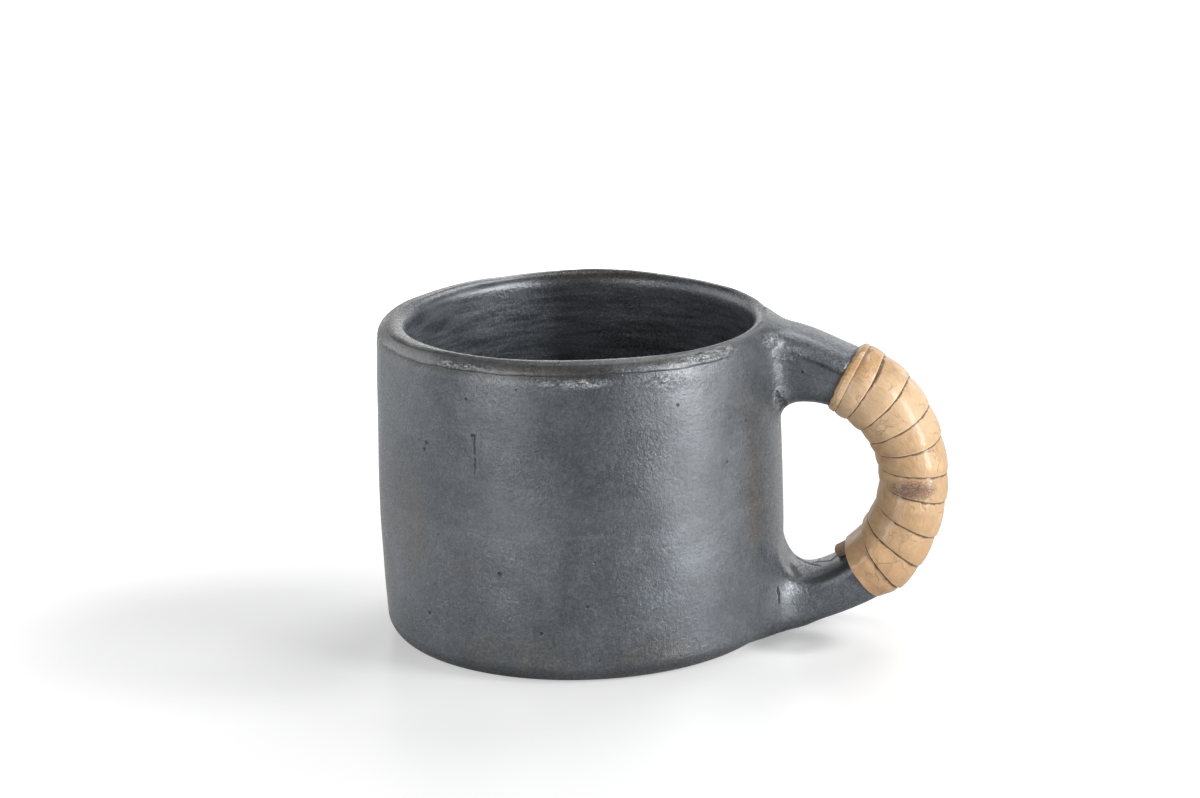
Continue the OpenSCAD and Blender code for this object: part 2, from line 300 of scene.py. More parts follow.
def along_path(s):
    """Turn, x and z of the centreline at each run s."""
    which = np.clip(np.searchsorted(ARC_END, s), 0, 2)
    turn = np.take(TURNS, which) + (s - ARC_START[which]) / np.take(ARC_R, which)
    centre = np.take(ARC_CENTRE, which, axis=0)
    radius = np.take(ARC_R, which)
    return turn, centre[..., 0] + radius * np.sin(turn), centre[..., 1] + radius * np.cos(turn)


def on_path(x, z):
    """Run s of the nearest point of the centreline and the distance outward from it."""
    best = np.full(x.shape, np.inf)
    run = np.zeros(x.shape)
    out = np.zeros(x.shape)
    for centre, radius, start, first, last in zip(
            ARC_CENTRE, ARC_R, ARC_START, TURNS, TURNS[1:]):
        dx, dz = x - centre[0], z - centre[1]
        turn = np.arctan2(dx, dz)
        turn = np.where(turn < -math.pi / 2, turn + 2 * math.pi, turn)
        held = np.clip(turn, first, last)
        away = np.hypot(dx - radius * np.sin(held), dz - radius * np.cos(held))
        nearer = away < best
        best = np.where(nearer, away, best)
        run = np.where(nearer, start + (held - first) * radius, run)
        out = np.where(nearer, np.hypot(dx, dz) - radius, out)
    return run, out


def bare_at(s):
    """1 on the bare arms, easing to 0 under the binding."""
    upper = ramp(BIND_S + NECK_UNDER - s, 0, NECK_UNDER)
    lower = ramp(s - BIND_END_S + NECK_UNDER, 0, NECK_UNDER)
    return np.where(s < HANDLE_RUN / 2, upper, lower)


def recess_at(s, around, depth, start):
    """Depth of a step in at the binding's upper end, from a start after that end.
    Around is 0 outside the loop, a quarter turn at the front, half a turn at the hole."""
    end = BIND_S + BIND_RUN * (
        END_MIDDLE + END_OUTER * np.cos(around) + END_FRONT * np.sin(around))
    first = end + start
    fade = ramp(BIND_S + RECESS_RUN - s, 0, RECESS_FADE)
    return depth * ramp(s, first, first + RECESS_EDGE) * fade


def tuck_lift_at(s):
    """0 to 1 as the tucked end comes out from deep under the turns."""
    return ramp(s, BIND_END_S - TUCK_RUN, BIND_END_S - TUCK_FULL)


def half_t_at(s, around):
    return np.where(np.cos(around) > 0, half_t_side(s, True), half_t_side(s, False))


def half_t_side(s, outer):
    """Half thickness on the outer side of the loop, or on the side of the hole."""
    root = ramp(s, WALL_IN_S, BIND_S)
    if outer:
        upper = mix(UPPER_ROOT_OUT, UPPER_ARM_OUT, root)
        lower = LOWER_ARM_OUT
    else:
        upper = mix(UPPER_ROOT_IN, UPPER_ARM_IN, root)
        lower = LOWER_ARM_IN
    arm = np.where(s < HANDLE_RUN / 2, upper, lower)
    bound = share_of(s, BIND_S, BIND_END_S)
    if outer:
        grip = mix(GRIP_END_OUT, GRIP_MIDDLE_OUT, np.sin(math.pi * bound))
    else:
        grip = mix(GRIP_TOP_IN, GRIP_IN, ramp(bound, 0, 0.3))
        grip = mix(grip, LOWER_ARM_IN, tuck_lift_at(s))
    return mix(grip, arm, bare_at(s))


def half_w_at(s):
    return mix(GRIP_W, ARM_W, bare_at(s)) / 2


# The clay as one field
OUTSIDE_FIELD = HalfSection(OUTSIDE)
HOLLOW_FIELD = HalfSection(HOLLOW)
# Hand marks: broad dents and finger touches
DENTS, DENT_DEPTH = Ripple(11, 34), 0.22
TOUCHES, TOUCH_DEPTH = Ripple(12, 11), 0.05
DENTS_Z = (1.5, 8)
# The mug is a little less deep than wide at the rim, which dips at both sides
DEPTH_SQUEEZE, SQUEEZE_Z = 0.984, (0, 70)
RIM_DROP_RIGHT, RIGHT_X = 0.75, (5, 40)
RIM_DROP_LEFT, LEFT_X = 0.4, (25, 45)
RIM_DROP_Z = (55, 72)
OPENING_RIGHT, OPENING_Z = 0.8, (40, 75)
LEDGE_Z, LEDGE_R, LEDGE_OUT = 72.6, (43.5, 45), 0.3
LEDGE_END_X = (40, 32)
# Widths of the smoothed joint at the upper and the lower root: towards the hole, outside the
# loop and at its sides
FILLETS = ((6.0, 9.0), (4.5, 12.0), (6.0, 12.0))
# The handle's field ends inside the wall, and the lower root keeps clear of the table
FIELD_FROM_X = 30
FOOT_CLEAR, FOOT_CLEAR_R = 0.5, (44, 52)


def handle_field(x, y, z):
    s, out = on_path(x, z)
    around = np.arctan2(-y, out)
    recess = recess_at(s, around, *CLAY_RECESS)
    half = half_t_at(s, around) - recess
    wide = half_w_at(s) - recess
    power = mix(GRIP_POWER, ARM_POWER, bare_at(s))
    a = np.abs(out) / half + 1e-6
    b = np.abs(y) / wide + 1e-6
    level = (a ** power + b ** power) ** (1 / power)
    slope = np.hypot((a / level) ** (power - 1) / half, (b / level) ** (power - 1) / wide)
    return np.maximum((level - 1) / slope, FIELD_FROM_X - x)


def fillet_at(s, out, y):
    """Width of the smoothed joint of cup and handle, around each root."""
    lower = s > HANDLE_RUN / 2
    hole, outer, side = (np.where(lower, at_lower, at_upper) for at_upper, at_lower in FILLETS)
    width = mix(outer, hole, ramp(-out, -6, 6))
    return mix(width, side, ramp(np.abs(y), 4, 10))


def clay_field(x, y, z):
    """Signed distance, more or less, to the whole of the clay."""
    deep = y / mix(1.0, DEPTH_SQUEEZE, ramp(z, *SQUEEZE_Z))
    r = np.hypot(x, deep)
    drop = RIM_DROP_RIGHT * ramp(x, *RIGHT_X) + RIM_DROP_LEFT * ramp(-x, *LEFT_X)
    level = z + drop * ramp(z, *RIM_DROP_Z)
    outside = OUTSIDE_FIELD(r, level)
    ledge = ramp(level, LEDGE_Z - 0.4, LEDGE_Z + 0.3) * ramp(r, *LEDGE_R)
    outside = outside - LEDGE_OUT * ledge * ramp(x, *LEDGE_END_X)
    solid = smooth_union(outside, handle_field(x, y, z), fillet_at(*on_path(x, z), y))
    solid = np.maximum(solid, FOOT_CLEAR * ramp(r, *FOOT_CLEAR_R) - z)
    uneven = DENT_DEPTH * DENTS(x, y, z) + TOUCH_DEPTH * TOUCHES(x, y, z)
    solid = solid + uneven * ramp(z, *DENTS_Z)
    opening = np.hypot(x - OPENING_RIGHT * ramp(z, *OPENING_Z), deep)
    return np.maximum(solid, -(HOLLOW_FIELD(opening, level) + 0.5 * uneven))


def sampled(field, low, high, step):
    """A field's values on a grid, layer by layer."""
    axes = [np.arange(low[i], high[i] + step, step) for i in range(3)]
    value = np.empty([len(a) for a in axes])
    yy, zz = np.meshgrid(axes[1], axes[2], indexing="ij")
    for i, x in enumerate(axes[0]):
        value[i] = field(np.full(yy.shape, x), yy, zz)
    return value


def net_points(value):
    """A point in each cell that the surface crosses, the mean of the crossings on its edges,
    and the number of each cell's point."""
    solid = value < 0
    cells = [n - 1 for n in value.shape]
    total = np.zeros(cells + [3])
    count = np.zeros(cells)
    corners = [(i, j, k) for i in (0, 1) for j in (0, 1) for k in (0, 1)]

    def part(array, corner):
        return array[tuple(slice(c, c + n) for c, n in zip(corner, cells))]

    for a in corners:
        for axis in range(3):
            if a[axis]:
                continue
            b = tuple(1 if i == axis else a[i] for i in range(3))
            va, vb = part(value, a), part(value, b)
            cut = part(solid, a) != part(solid, b)
            t = np.where(cut, va / np.where(cut, va - vb, 1), 0)
            for i in range(3):
                total[..., i] += np.where(cut, a[i] + (t if i == axis else 0), 0)
            count += cut
    used = count > 0
    number = np.full(cells, -1)
    number[used] = np.arange(used.sum())
    place = total[used] / count[used][:, None]
    return np.argwhere(used) + place, number


def net_quads(value, number):
    """A quad round each grid edge that the surface crosses, wound so that it faces outward."""
    solid = value < 0
    cells = number.shape
    quads = []
    for axis in range(3):
        u, v = (axis + 1) % 3, (axis + 2) % 3
        first, second = np.delete(solid, -1, axis), np.delete(solid, 0, axis)
        at = np.argwhere(first != second)
        keep = (at[:, u] > 0) & (at[:, v] > 0)
        keep &= (at[:, u] < cells[u]) & (at[:, v] < cells[v])
        at = at[keep]
        corner = []
        for du, dv in ((1, 1), (0, 1), (0, 0), (1, 0)):
            cell = at.copy()
            cell[:, u] -= du
            cell[:, v] -= dv
            corner.append(number[tuple(cell.T)])
        quad = np.stack(corner, 1)
        leaves = first[tuple(at.T)]
        quads.append(np.where(leaves[:, None], quad, quad[:, ::-1]))
    return np.concatenate(quads)


def settled(field, points, step, passes=3):
    """The points brought onto the field's zero level, along its slope."""
    tiny = 0.02
    for _ in range(passes):
        here = field(*points.T)
        slope = np.stack([
            (field(*(points + tiny * e).T) - field(*(points - tiny * e).T)) / (2 * tiny)
            for e in np.eye(3)], 1)
        move = slope * (here / np.maximum((slope ** 2).sum(1), 0.1))[:, None]
        far = np.linalg.norm(move, axis=1, keepdims=True)
        points = points - move * np.minimum(1, step / 2 / np.maximum(far, 1e-9))
    return points


def surface_net(field, low, high, step):
    """Closed quad mesh on a field's zero level."""
    value = sampled(field, low, high, step)
    points, number = net_points(value)
    return settled(field, np.array(low) + points * step, step), net_quads(value, number)


def new_mesh(name, points, faces, smooth=True, maps=None):
    """A mesh object from points in millimetres. Maps are named pairs of values for each point."""
    data = bpy.data.meshes.new(name)
    data.from_pydata((np.asarray(points) * MM).tolist(), [], [list(map(int, f)) for f in faces])
    data.validate()
    data.update()
    data.polygons.foreach_set("use_smooth", [smooth] * len(data.polygons))
    corners = np.empty(len(data.loops), int)
    data.loops.foreach_get("vertex_index", corners)
    for title, pairs in (maps or {}).items():
        layer = data.uv_layers.new(name=title)
        layer.data.foreach_set("uv", np.asarray(pairs)[corners].ravel())
    piece = bpy.data.objects.new(name, data)
    bpy.context.scene.collection.objects.link(piece)
    return piece


CLAY_GRID = 0.86
CLAY_LOW, CLAY_HIGH = (-49.5, -48.5, -1.5), (87.0, 48.5, 77.5)
clay_points, clay_quads = surface_net(clay_field, CLAY_LOW, CLAY_HIGH, CLAY_GRID)
clay_run, clay_out = on_path(clay_points[:, 0], clay_points[:, 2])
clay = new_mesh("clay_mug", clay_points, clay_quads,
                maps={"along_handle": np.stack([clay_run, clay_out], 1)})
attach(clay, "root")
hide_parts("cup_body", "handle")

# The binding
# Lower edge of each turn as shares of the bound run, from the first turn at the bottom up.
# The columns are where it crosses the outer side, the front, the side of the hole and the back.
SEAMS = np.array([
    [1.000, 1.020, 1.016, 1.000],
    [0.945, 0.920, 0.860, 0.850],
    [0.845, 0.825, 0.800, 0.765],
    [0.737, 0.715, 0.670, 0.640],
    [0.615, 0.590, 0.540, 0.530],
    [0.523, 0.495, 0.445, 0.425],
    [0.402, 0.400, 0.355, 0.335],
    [0.300, 0.304, 0.298, 0.250],
    [0.190, 0.198, 0.202, 0.148],
    [0.090, 0.096, 0.100, 0.066],
    [0.036, 0.020, 0.028, 0.030],
    [0.004, -0.022, -0.014, 0.000]])
TURN_STEPS = 96
FIRST_TURN = -1 / 6
LAST_TURN = 10.7
# Turns over which the strip climbs onto its own start
CLIMB = (0.45, 0.83)
STRIP_T = 0.6
OVERLAP = 1.6
# Gap under the strip, and between a turn and the one that it lies over
SEAT = 0.08
LAP_GAP = 0.06
PILLOW = 0.2
# The strip's run in its maps, for one turn
TURN_LENGTH = 50.0


def wave(table, turns):
    """Smooth curve through a table of four values a turn."""
    flat = table.ravel()
    at = np.clip(turns * 4, -0.999, len(flat) - 1.001)
    i = np.floor(at).astype(int)
    t = at - i
    a, b, c, d = (flat[np.clip(i + k, 0, len(flat) - 1)] for k in (-1, 0, 1, 2))
    return b + t * ((c - a) / 2 + t * ((a - 2.5 * b + 2 * c - d / 2)
                                       + t * (3 * b - 3 * c + d - a) / 2))


def rounded(c):
    """A sine or cosine that follows the grip's section instead of a circle."""
    return np.sign(c) * np.abs(c) ** (2 / GRIP_POWER)


def tuck_at(s, around):
    """How far the tucked end of the strip, on the side of the hole, lifts the turns over it."""
    return TUCK_T * tuck_lift_at(s) * ramp(-np.cos(around), -0.1, 0.55)


def skin(s, around, off):
    """A point off the clay of the grip, at each run s and turn around it."""
    turn, x, z = along_path(s)
    off = off + tuck_at(s, around) - recess_at(s, around, *STRIP_RECESS)
    out = (half_t_at(s, around) + off) * rounded(np.cos(around))
    side = -(half_w_at(s) + off) * rounded(np.sin(around))
    return np.stack([x + out * np.sin(turn), side, z + out * np.cos(turn)], -1)


def low_edge(turns):
    return BIND_S + BIND_RUN * wave(SEAMS, turns)


def high_edge(turns):
    hidden = OVERLAP * ramp(LAST_TURN - 1 - turns, -0.12, 0.02)
    return low_edge(turns + 1) - hidden


def swept_faces(rings, sides, inward=False):
    """Quads between the rings of a swept solid, and a face at each end."""
    i, j = np.meshgrid(np.arange(rings - 1), np.arange(sides), indexing="ij")
    after = (j + 1) % sides
    corners = [i * sides + j, (i + 1) * sides + j, (i + 1) * sides + after, i * sides + after]
    ends = [list(range(sides)), [(rings - 1) * sides + k for k in reversed(range(sides))]]
    if inward:
        corners = corners[:1] + corners[:0:-1]
        ends = [end[::-1] for end in ends]
    return [list(quad) for quad in np.stack(corners, -1).reshape(-1, 4)] + ends


def strip_mesh():
    """The whole strip as one ring of points at each step. Each turn tilts, like a shingle, from
    the clay at its hidden upper edge to the top of the turn below at its lower edge."""
    turns = np.linspace(FIRST_TURN, LAST_TURN, int((LAST_TURN - FIRST_TURN) * TURN_STEPS))
    low, high = low_edge(turns), high_edge(turns)
    below = high_edge(np.maximum(turns - 1, FIRST_TURN))
    climb = ramp(turns, *CLIMB)
    around = 2 * math.pi * turns
    face = [(share, 1.0) for share in np.linspace(0.02, 0.96, 16)]
    edge = [(0.985, 0.96), (1.0, 0.75), (1.003, 0.5), (1.0, 0.15)]
    under = [(share, 0.0) for share in (0.97, 0.75, 0.5, 0.25, 0.0)]
    cover = low_edge(turns + 1)
    rings, from_cover, from_edge = [], [], []
    for share, lift in [(0.0, 0.7)] + face + edge + under:
        s = high + share * (low - high)
        ride = share_of(s, high, np.maximum(below, high + 1)) * climb * (STRIP_T + LAP_GAP)
        pillow = PILLOW * np.sin(math.pi * share_of(s, high, low))
        rings.append(skin(s, around, SEAT + ride + (STRIP_T + pillow) * lift))
        from_cover.append(s - cover)
        from_edge.append(low - s)
    points = np.stack(rings, 1)
    run = np.repeat(turns * TURN_LENGTH, points.shape[1])
    maps = {"from_cover": np.stack([run, np.stack(from_cover, 1).ravel()], 1),
            "from_edge": np.stack([run, np.stack(from_edge, 1).ravel()], 1)}
    return points.reshape(-1, 3), swept_faces(*points.shape[:2]), maps


strip_points, strip_faces, strip_maps = strip_mesh()
strip = new_mesh("hide_strip", strip_points, strip_faces, maps=strip_maps)
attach(strip, "root")
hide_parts("handle_wrap")

# The tucked end: a folded end of strip under the first turns, on the side of the hole
TUCK_ASIDE = -0.6
TUCK_SIDES = 28
TUCK_ROUND = 0.7
TUCK_SWELL = 1.1
TUCK_SUNK = 0.15
TUCK_STOPS, TUCK_END_STOPS = 22, 6


def tuck_mesh():
    """The tucked end as one ring of points at each stop, with a fold along its middle. Beyond
    the first turn it swells, and its tip is rounded off."""
    tip = BIND_END_S + TUCK_SHOW
    stops = np.concatenate([
        np.linspace(BIND_END_S - TUCK_RUN, tip - TUCK_ROUND, TUCK_STOPS),
        tip - TUCK_ROUND * np.cos(np.linspace(0.3, 1.5, TUCK_END_STOPS)) ** 2])
    shrink = np.concatenate([
        np.ones(TUCK_STOPS), np.sin(np.linspace(1.5, 0.35, TUCK_END_STOPS)) ** 0.5])
    angle = np.linspace(0, 2 * math.pi, TUCK_SIDES, endpoint=False)
    rings = []
    for s, size in zip(stops, shrink):
        turn, x, z = along_path(np.array(s))
        swell = TUCK_SWELL * ramp(s, BIND_END_S - 0.5, BIND_END_S + 1)
        thick = mix(0.4, TUCK_T - 0.1 + swell, tuck_lift_at(s))
        fold = 1 - 0.12 * np.exp(-((np.cos(angle) - 0.1) / 0.12) ** 2)
        aside = TUCK_ASIDE + TUCK_W / 2 * size * fold * np.sign(np.sin(angle)) * (
            np.abs(np.sin(angle)) ** 0.5)
        lift = thick / 2 * (1 + size * np.sign(np.cos(angle)) * np.abs(np.cos(angle)) ** 0.6)
        out = -(half_t_at(np.array(s), math.pi) + lift - TUCK_SUNK)
        rings.append(np.stack([x + out * np.sin(turn), aside, z + out * np.cos(turn)], -1))
    points = np.stack(rings)
    return points.reshape(-1, 3), swept_faces(*points.shape[:2], inward=True)


tuck_points, tuck_faces = tuck_mesh()
tuck = new_mesh("tucked_end", tuck_points, tuck_faces)
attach(tuck, "root")
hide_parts("strip_tail")


# Materials
# Where most of a noise's values lie
USUAL = (0.3, 0.7)


class Nodes:
    """A material's node tree, built by short calls. Coordinates are the frame's, in millimetres."""

    def __init__(self, name):
        self.material = bpy.data.materials.new(name)
        self.material.use_nodes = True
        self.tree = self.material.node_tree
        self.tree.nodes.clear()
        here = self.add("TexCoord").outputs["Object"]
        self.place = self.vector("SCALE", {0: here, 3: 1 / MM})

    def add(self, kind, inputs=None, **settings):
        node = self.tree.nodes.new("ShaderNode" + kind)
        for name, value in settings.items():
            setattr(node, name, value)
        for name, value in (inputs or {}).items():
            socket = node.inputs[name]
            if isinstance(value, bpy.types.NodeSocket):
                self.tree.links.new(value, socket)
            else:
                socket.default_value = value
        return node

    def surface(self, **inputs):
        """A surface whose inputs are named with _ for a space."""
        named = {name.replace("_", " "): value for name, value in inputs.items()}
        return self.add("BsdfPrincipled", named).outputs[0]

    def finish(self, shader):
        self.add("OutputMaterial", {"Surface": shader})
        return self.material

    # Vectors and numbers
    def vector(self, operation, inputs, output=0):
        return self.add("VectorMath", inputs, operation=operation).outputs[output]

    def stretched(self, vector, scale):
        return self.vector("MULTIPLY", {0: vector, 1: scale})

    def parts(self, vector):
        return self.add("SeparateXYZ", {"Vector": vector}).outputs

    def mapped(self, title):
        """One of the mesh's named maps."""
        return self.add("UVMap", uv_map=title).outputs[0]

    def math(self, operation, a, b=0.0, c=None, clamp=False):
        inputs = {0: a, 1: b}
        if c is not None:
            inputs[2] = c
        return self.add("Math", inputs, operation=operation, use_clamp=clamp).outputs[0]

    def times(self, first, *others):
        for other in others:
            first = self.math("MULTIPLY", first, other)
        return first

    def total(self, first, *others):
        for other in others:
            first = self.math("ADD", first, other)
        return first

    def most(self, values):
        """The highest of several values."""
        top = values[0]
        for value in values[1:]:
            top = self.math("MAXIMUM", top, value)
        return top

    def range(self, value, low, high, to_low=0.0, to_high=1.0, smooth=True):
        return self.add("MapRange", {
            "Value": value, "From Min": low, "From Max": high,
            "To Min": to_low, "To Max": to_high},
            interpolation_type="SMOOTHSTEP" if smooth else "LINEAR").outputs[0]

    def spread(self, noise, low=0.0, high=1.0):
        """A noise turned into values that lie between low and high."""
        return self.range(noise, *USUAL, low, high)

    # Patterns
    def noise(self, length, detail, roughness, distortion=0.0, at=None):
        """A noise from 0 to 1 whose features are about length apart."""
        return self.add("TexNoise", {
            "Vector": at if at else self.place, "Scale": 1 / length, "Detail": detail,
            "Roughness": roughness, "Distortion": distortion}).outputs["Fac"]

    def cell_edges(self, vector, apart):
        """Distance to the borders of random cells, as a share of the cells' size."""
        return self.add("TexVoronoi", {"Vector": vector, "Scale": 1 / apart},
                        feature="DISTANCE_TO_EDGE").outputs[0]

    def pits(self, apart, size, share):
        """Small scattered pits: 1 inside a pit, in only a share of the cells."""
        cells = self.add("TexVoronoi", {"Vector": self.place, "Scale": 1 / apart})
        chance = self.add("SeparateColor", {0: cells.outputs["Color"]}).outputs[0]
        inside = self.range(cells.outputs["Distance"], size / apart, 0.45 * size / apart)
        return self.times(inside, self.math("LESS_THAN", chance, share))

    def near(self, point, reach, at=None):
        """1 at a point, easing to 0 at the given reach along x, y and z."""
        away = self.vector("SUBTRACT", {0: at if at else self.place, 1: point})
        away = self.stretched(away, tuple(1 / r for r in reach))
        return self.range(self.vector("LENGTH", {0: away}, "Value"), 1.0, 0.35)

    def near_any(self, spots):
        return self.most([self.near(*spot) for spot in spots])

    def streak(self, at, start, stop, width):
        """1 on a thin line between two points, easing to 0 beside it."""
        start, along = Vector(start), Vector(stop) - Vector(start)
        here = self.vector("SUBTRACT", {0: at, 1: tuple(start)})
        share = self.vector(
            "DOT_PRODUCT", {0: here, 1: tuple(along / along.length_squared)}, "Value")
        share = self.math("ADD", share, 0.0, clamp=True)
        foot = self.vector("SCALE", {0: tuple(along), 3: share})
        away = self.vector("DISTANCE", {0: here, 1: foot}, "Value")
        return self.range(away, width / 2, width / 6)

    def line(self, at, points, widths):
        """1 on a thin line through points, with a width for each part."""
        return self.most([self.streak(at, *part) for part in zip(points, points[1:], widths)])

    # Colours
    def tone(self, value):
        """A grey colour of one value."""
        return self.add("CombineColor", {0: value, 1: value, 2: value}).outputs[0]

    def blend(self, share, a, b, kind="MIX"):
        node = self.add("Mix", data_type="RGBA", blend_type=kind)
        for name, value in (("Factor", share), ("A", a), ("B", b)):
            socket = [x for x in node.inputs if x.name == name and x.enabled][0]
            if isinstance(value, bpy.types.NodeSocket):
                self.tree.links.new(value, socket)
            elif name == "Factor":
                socket.default_value = value
            else:
                socket.default_value = (*value, 1)
        return [x for x in node.outputs if x.enabled][0]

    def shaded(self, colour, value):
        return self.blend(1.0, colour, self.tone(value), "MULTIPLY")

    def stained(self, colour, stain, *shares):
        """A colour turned to a stain by the product of some shares."""
        return self.blend(self.times(*shares), colour, stain)

    def bumps(self, *layers):
        """Bumps over each other: each a height from 0 to 1 and its full depth in millimetres."""
        normal = None
        for height, depth in layers:
            inputs = {"Height": height, "Distance": depth * MM, "Strength": 1.0}
            if normal is not None:
                inputs["Normal"] = normal
            normal = self.add("Bump", inputs).outputs[0]
        return normal


# The clay's colours
DARK_GREY, PALE_GREY = (0.076, 0.086, 0.098), (0.095, 0.107, 0.120)
BROWN_GREY = (0.092, 0.083, 0.073)
BACK_RIM_BLACK = (0.040, 0.033, 0.028)
FRONT_RIM_BLACK = (0.050, 0.044, 0.038)
LEDGE_SHADE_BLACK = (0.040, 0.036, 0.034)
SOOT_GREY = (0.091, 0.099, 0.110)
PAINTED_HIGHLIGHT_GREY = (0.24, 0.25, 0.26)
CREASE_SHADE, CREASE_SHADE_BLACK = (0.05, 0.052, 0.056), (0.02, 0.02, 0.022)
SHADE_BAND_BLACK = (0.018, 0.018, 0.019)
FLAW_BLACK = (0.014, 0.014, 0.014)
FLECK_AND_GLINT_PALE = (0.50, 0.51, 0.52)

# Places on the wall painted brown: point and reach. Smoke and iron left the clay brown at the first
# two; the third is painted shade in a dark band beside the handle, and the last two are painted
# shade along the foot
BROWN_AND_SHADE_PLACES = [
    ((-36, -32, 33), (11, 9, 19)),
    ((-22, -43, 27), (7, 6, 6)),
    # Painted shade: a dark band on the wall beside the handle
    ((43.0, -21, 38), (5.0, 6, 21)),
    # Painted shade along the foot, where it meets the table
    ((-10, -46, 6), (26, 9, 7)),
    ((20, -42, 5), (24, 10, 7))]

# The rim: darker at the back and along the front; rubbed to a polish inside at the back left, where
# a painted highlight lies
DARKENED_BACK_RIM = ((2, 43, 74), (34, 9, 4))
DARKENED_FRONT_RIM = ((0, -46, 73.2), (26, 6, 2.2))
POLISHED_AND_HIGHLIT_RIM = ((-26, 32, 72.5), (20, 16, 4.5))

# Heights, and distances from the axis, over which each zone of the cup shades in
RIM_Z, RIM_R = (72.0, 74.4), (41.5, 42.5)
RIM_TOP_R = (43.0, 44.0)
INSIDE_Z, INSIDE_R = (75.0, 70.0), (44.4, 42.4)
WALL_R = (44.0, 44.8)
FOOT_SHADE_Z = (0.5, 5.0)

# Rough places where the handle's ends were pressed on
CRACKED_PLACES = [
    ((50.5, -9.5, 68.0), (5.5, 4, 2.6)),
    ((48.5, -9.5, 56.5), (3.0, 4, 4.5)),
    ((54, 1, 13.5), (7, 8, 2.2))]

# Places painted pale along the lip and at the upper root: wear, and painted glints where the edges
# catch the light
WORN_AND_GLINT_PLACES = [
    ((46.2, -10.5, 71.6), (4.5, 5, 2.0)),
    ((6, -46.8, 70.8), (13, 4, 1.6)),
    ((25, -39.5, 69.5), (7, 6, 2.4)),
    ((35, -31, 73.4), (13, 14, 1.7)),
    ((-22, -40, 73.6), (11, 6, 1.1))]

# Cracks: the points along each, and the width of each part
CRACKS = [
    ([(-18.9, -43.1, 58.1), (-18.2, -43.3, 58.2), (-18.3, -43.3, 54.0)], [0.7, 0.6]),
    ([(-18.2, -43.3, 52.7), (-18.4, -43.3, 49.0)], [0.65]),
    ([(47.2, -12.8, 12.1), (47.6, -13.0, 10.3), (47.3, -13.0, 8.3)], [1.0, 0.9]),
    ([(47.6, -10.1, 59.1), (47.9, -9.1, 57.1), (48.8, -7.9, 56.1), (49.3, -5.4, 54.4)],
     [1.2, 2.0, 1.6]),
    ([(48.8, -7.9, 56.1), (48.0, -6.9, 53.9)], [1.2]),
    ([(50.5, 7.7, 13.2), (51.1, 5.6, 13.2)], [1.6]),
    ([(51.6, 5.3, 13.0), (54.0, 1.3, 13.4), (56.5, -2.0, 14.0)], [1.2, 1.0]),
    ([(54.0, 1.3, 13.4), (55.6, 1.8, 13.7), (59.1, -1.5, 15.1), (60.5, 0.1, 15.8)],
     [1.4, 1.1, 1.6])]

# Painted shade: a soft dark band along the hole side of the lower arm, where it turns to the front,
# in the same form
LOWER_ARM_SHADE_BAND = (
    [(49.4, -1.3, 13.5), (52.1, -7.4, 13.1), (54.9, -7.9, 12.5), (59.2, -7.6, 13.5),
     (63.7, -7.0, 16.0)], [3.4] * 4)

# Single pits: point and radius
PITS = [
    ((-13.3, -45.8, 26.3), 0.7), ((-31.6, -35.5, 13.2), 0.6), ((6.6, -47.0, 19.1), 0.6),
    ((-4.2, -47.4, 12.6), 0.6), ((-30.4, -36.0, 54.2), 0.8), ((-31.0, -35.6, 52.6), 0.6),
    ((27.2, -38.1, 63.9), 0.5), ((45.3, -10.8, 72.4), 0.5), ((53.3, -8.8, 63.6), 0.5),
    ((49.2, -10.0, 62.7), 0.5)]
# Scattered pits on the rest: how far apart, how wide, and in which share of the cells
PIT_APART, PIT_SIZE, PIT_SHARE = 4.1, 0.4, 0.16


class Clay(Nodes):
    """The mug's burnished clay: the noises and masks that the functions after it share."""

    def __init__(self):
        super().__init__("burnished_clay")
        self.x, self.y, self.z = self.parts(self.place)
        flat = self.stretched(self.place, (1, 1, 0))
        self.axis_far = self.vector("LENGTH", {0: flat}, "Value")
        self.run, self.out = self.parts(self.mapped("along_handle"))[:2]
        # Level runs round the cup, for marks left by turning it in the hand
        around = self.times(self.math("ARCTAN2", self.y, self.x), CUP_R)
        level_runs = self.add("CombineXYZ", {0: around, 1: self.axis_far, 2: self.z}).outputs[0]
        self.clouds = self.noise(24, 3, 0.55)
        self.mottle = self.noise(6, 5, 0.6, 0.3)
        self.felt = self.noise(0.95, 4, 0.7)
        self.grit = self.noise(0.5, 3, 0.8)
        self.sparkle = self.noise(0.7, 2, 0.9)
        self.rough_spots = self.noise(1.6, 4, 0.75)
        self.scuffs = self.noise(1.0, 4, 0.75, at=self.stretched(level_runs, (0.45, 1.5, 1.5)))
        self.strokes = self.noise(1.0, 4, 0.6, at=self.stretched(self.place, (0.09, 0.09, 0.75)))
        self.grain = self.times(
            self.range(self.grit, 0.40, 0.60, 0.80, 1.22),
            self.range(self.felt, 0.36, 0.64, 0.83, 1.17))
        self.rim = self.times(self.range(self.z, *RIM_Z), self.range(self.axis_far, *RIM_R))
        self.inside = self.times(
            self.range(self.axis_far, *INSIDE_R), self.range(self.z, *INSIDE_Z))
        self.darkened_back = self.near(*DARKENED_BACK_RIM)
        self.polished_and_highlit = self.near(*POLISHED_AND_HIGHLIT_RIM)
        self.cracked = self.near_any(CRACKED_PLACES)
        self.worn_and_glinting = self.near_any(WORN_AND_GLINT_PLACES)
        self.pressed = self.math("MAXIMUM", self.cracked, self.worn_and_glinting)
        self.shade_band = self.line(self.place, *LOWER_ARM_SHADE_BAND)
        self.flaws = all_flaws(self)


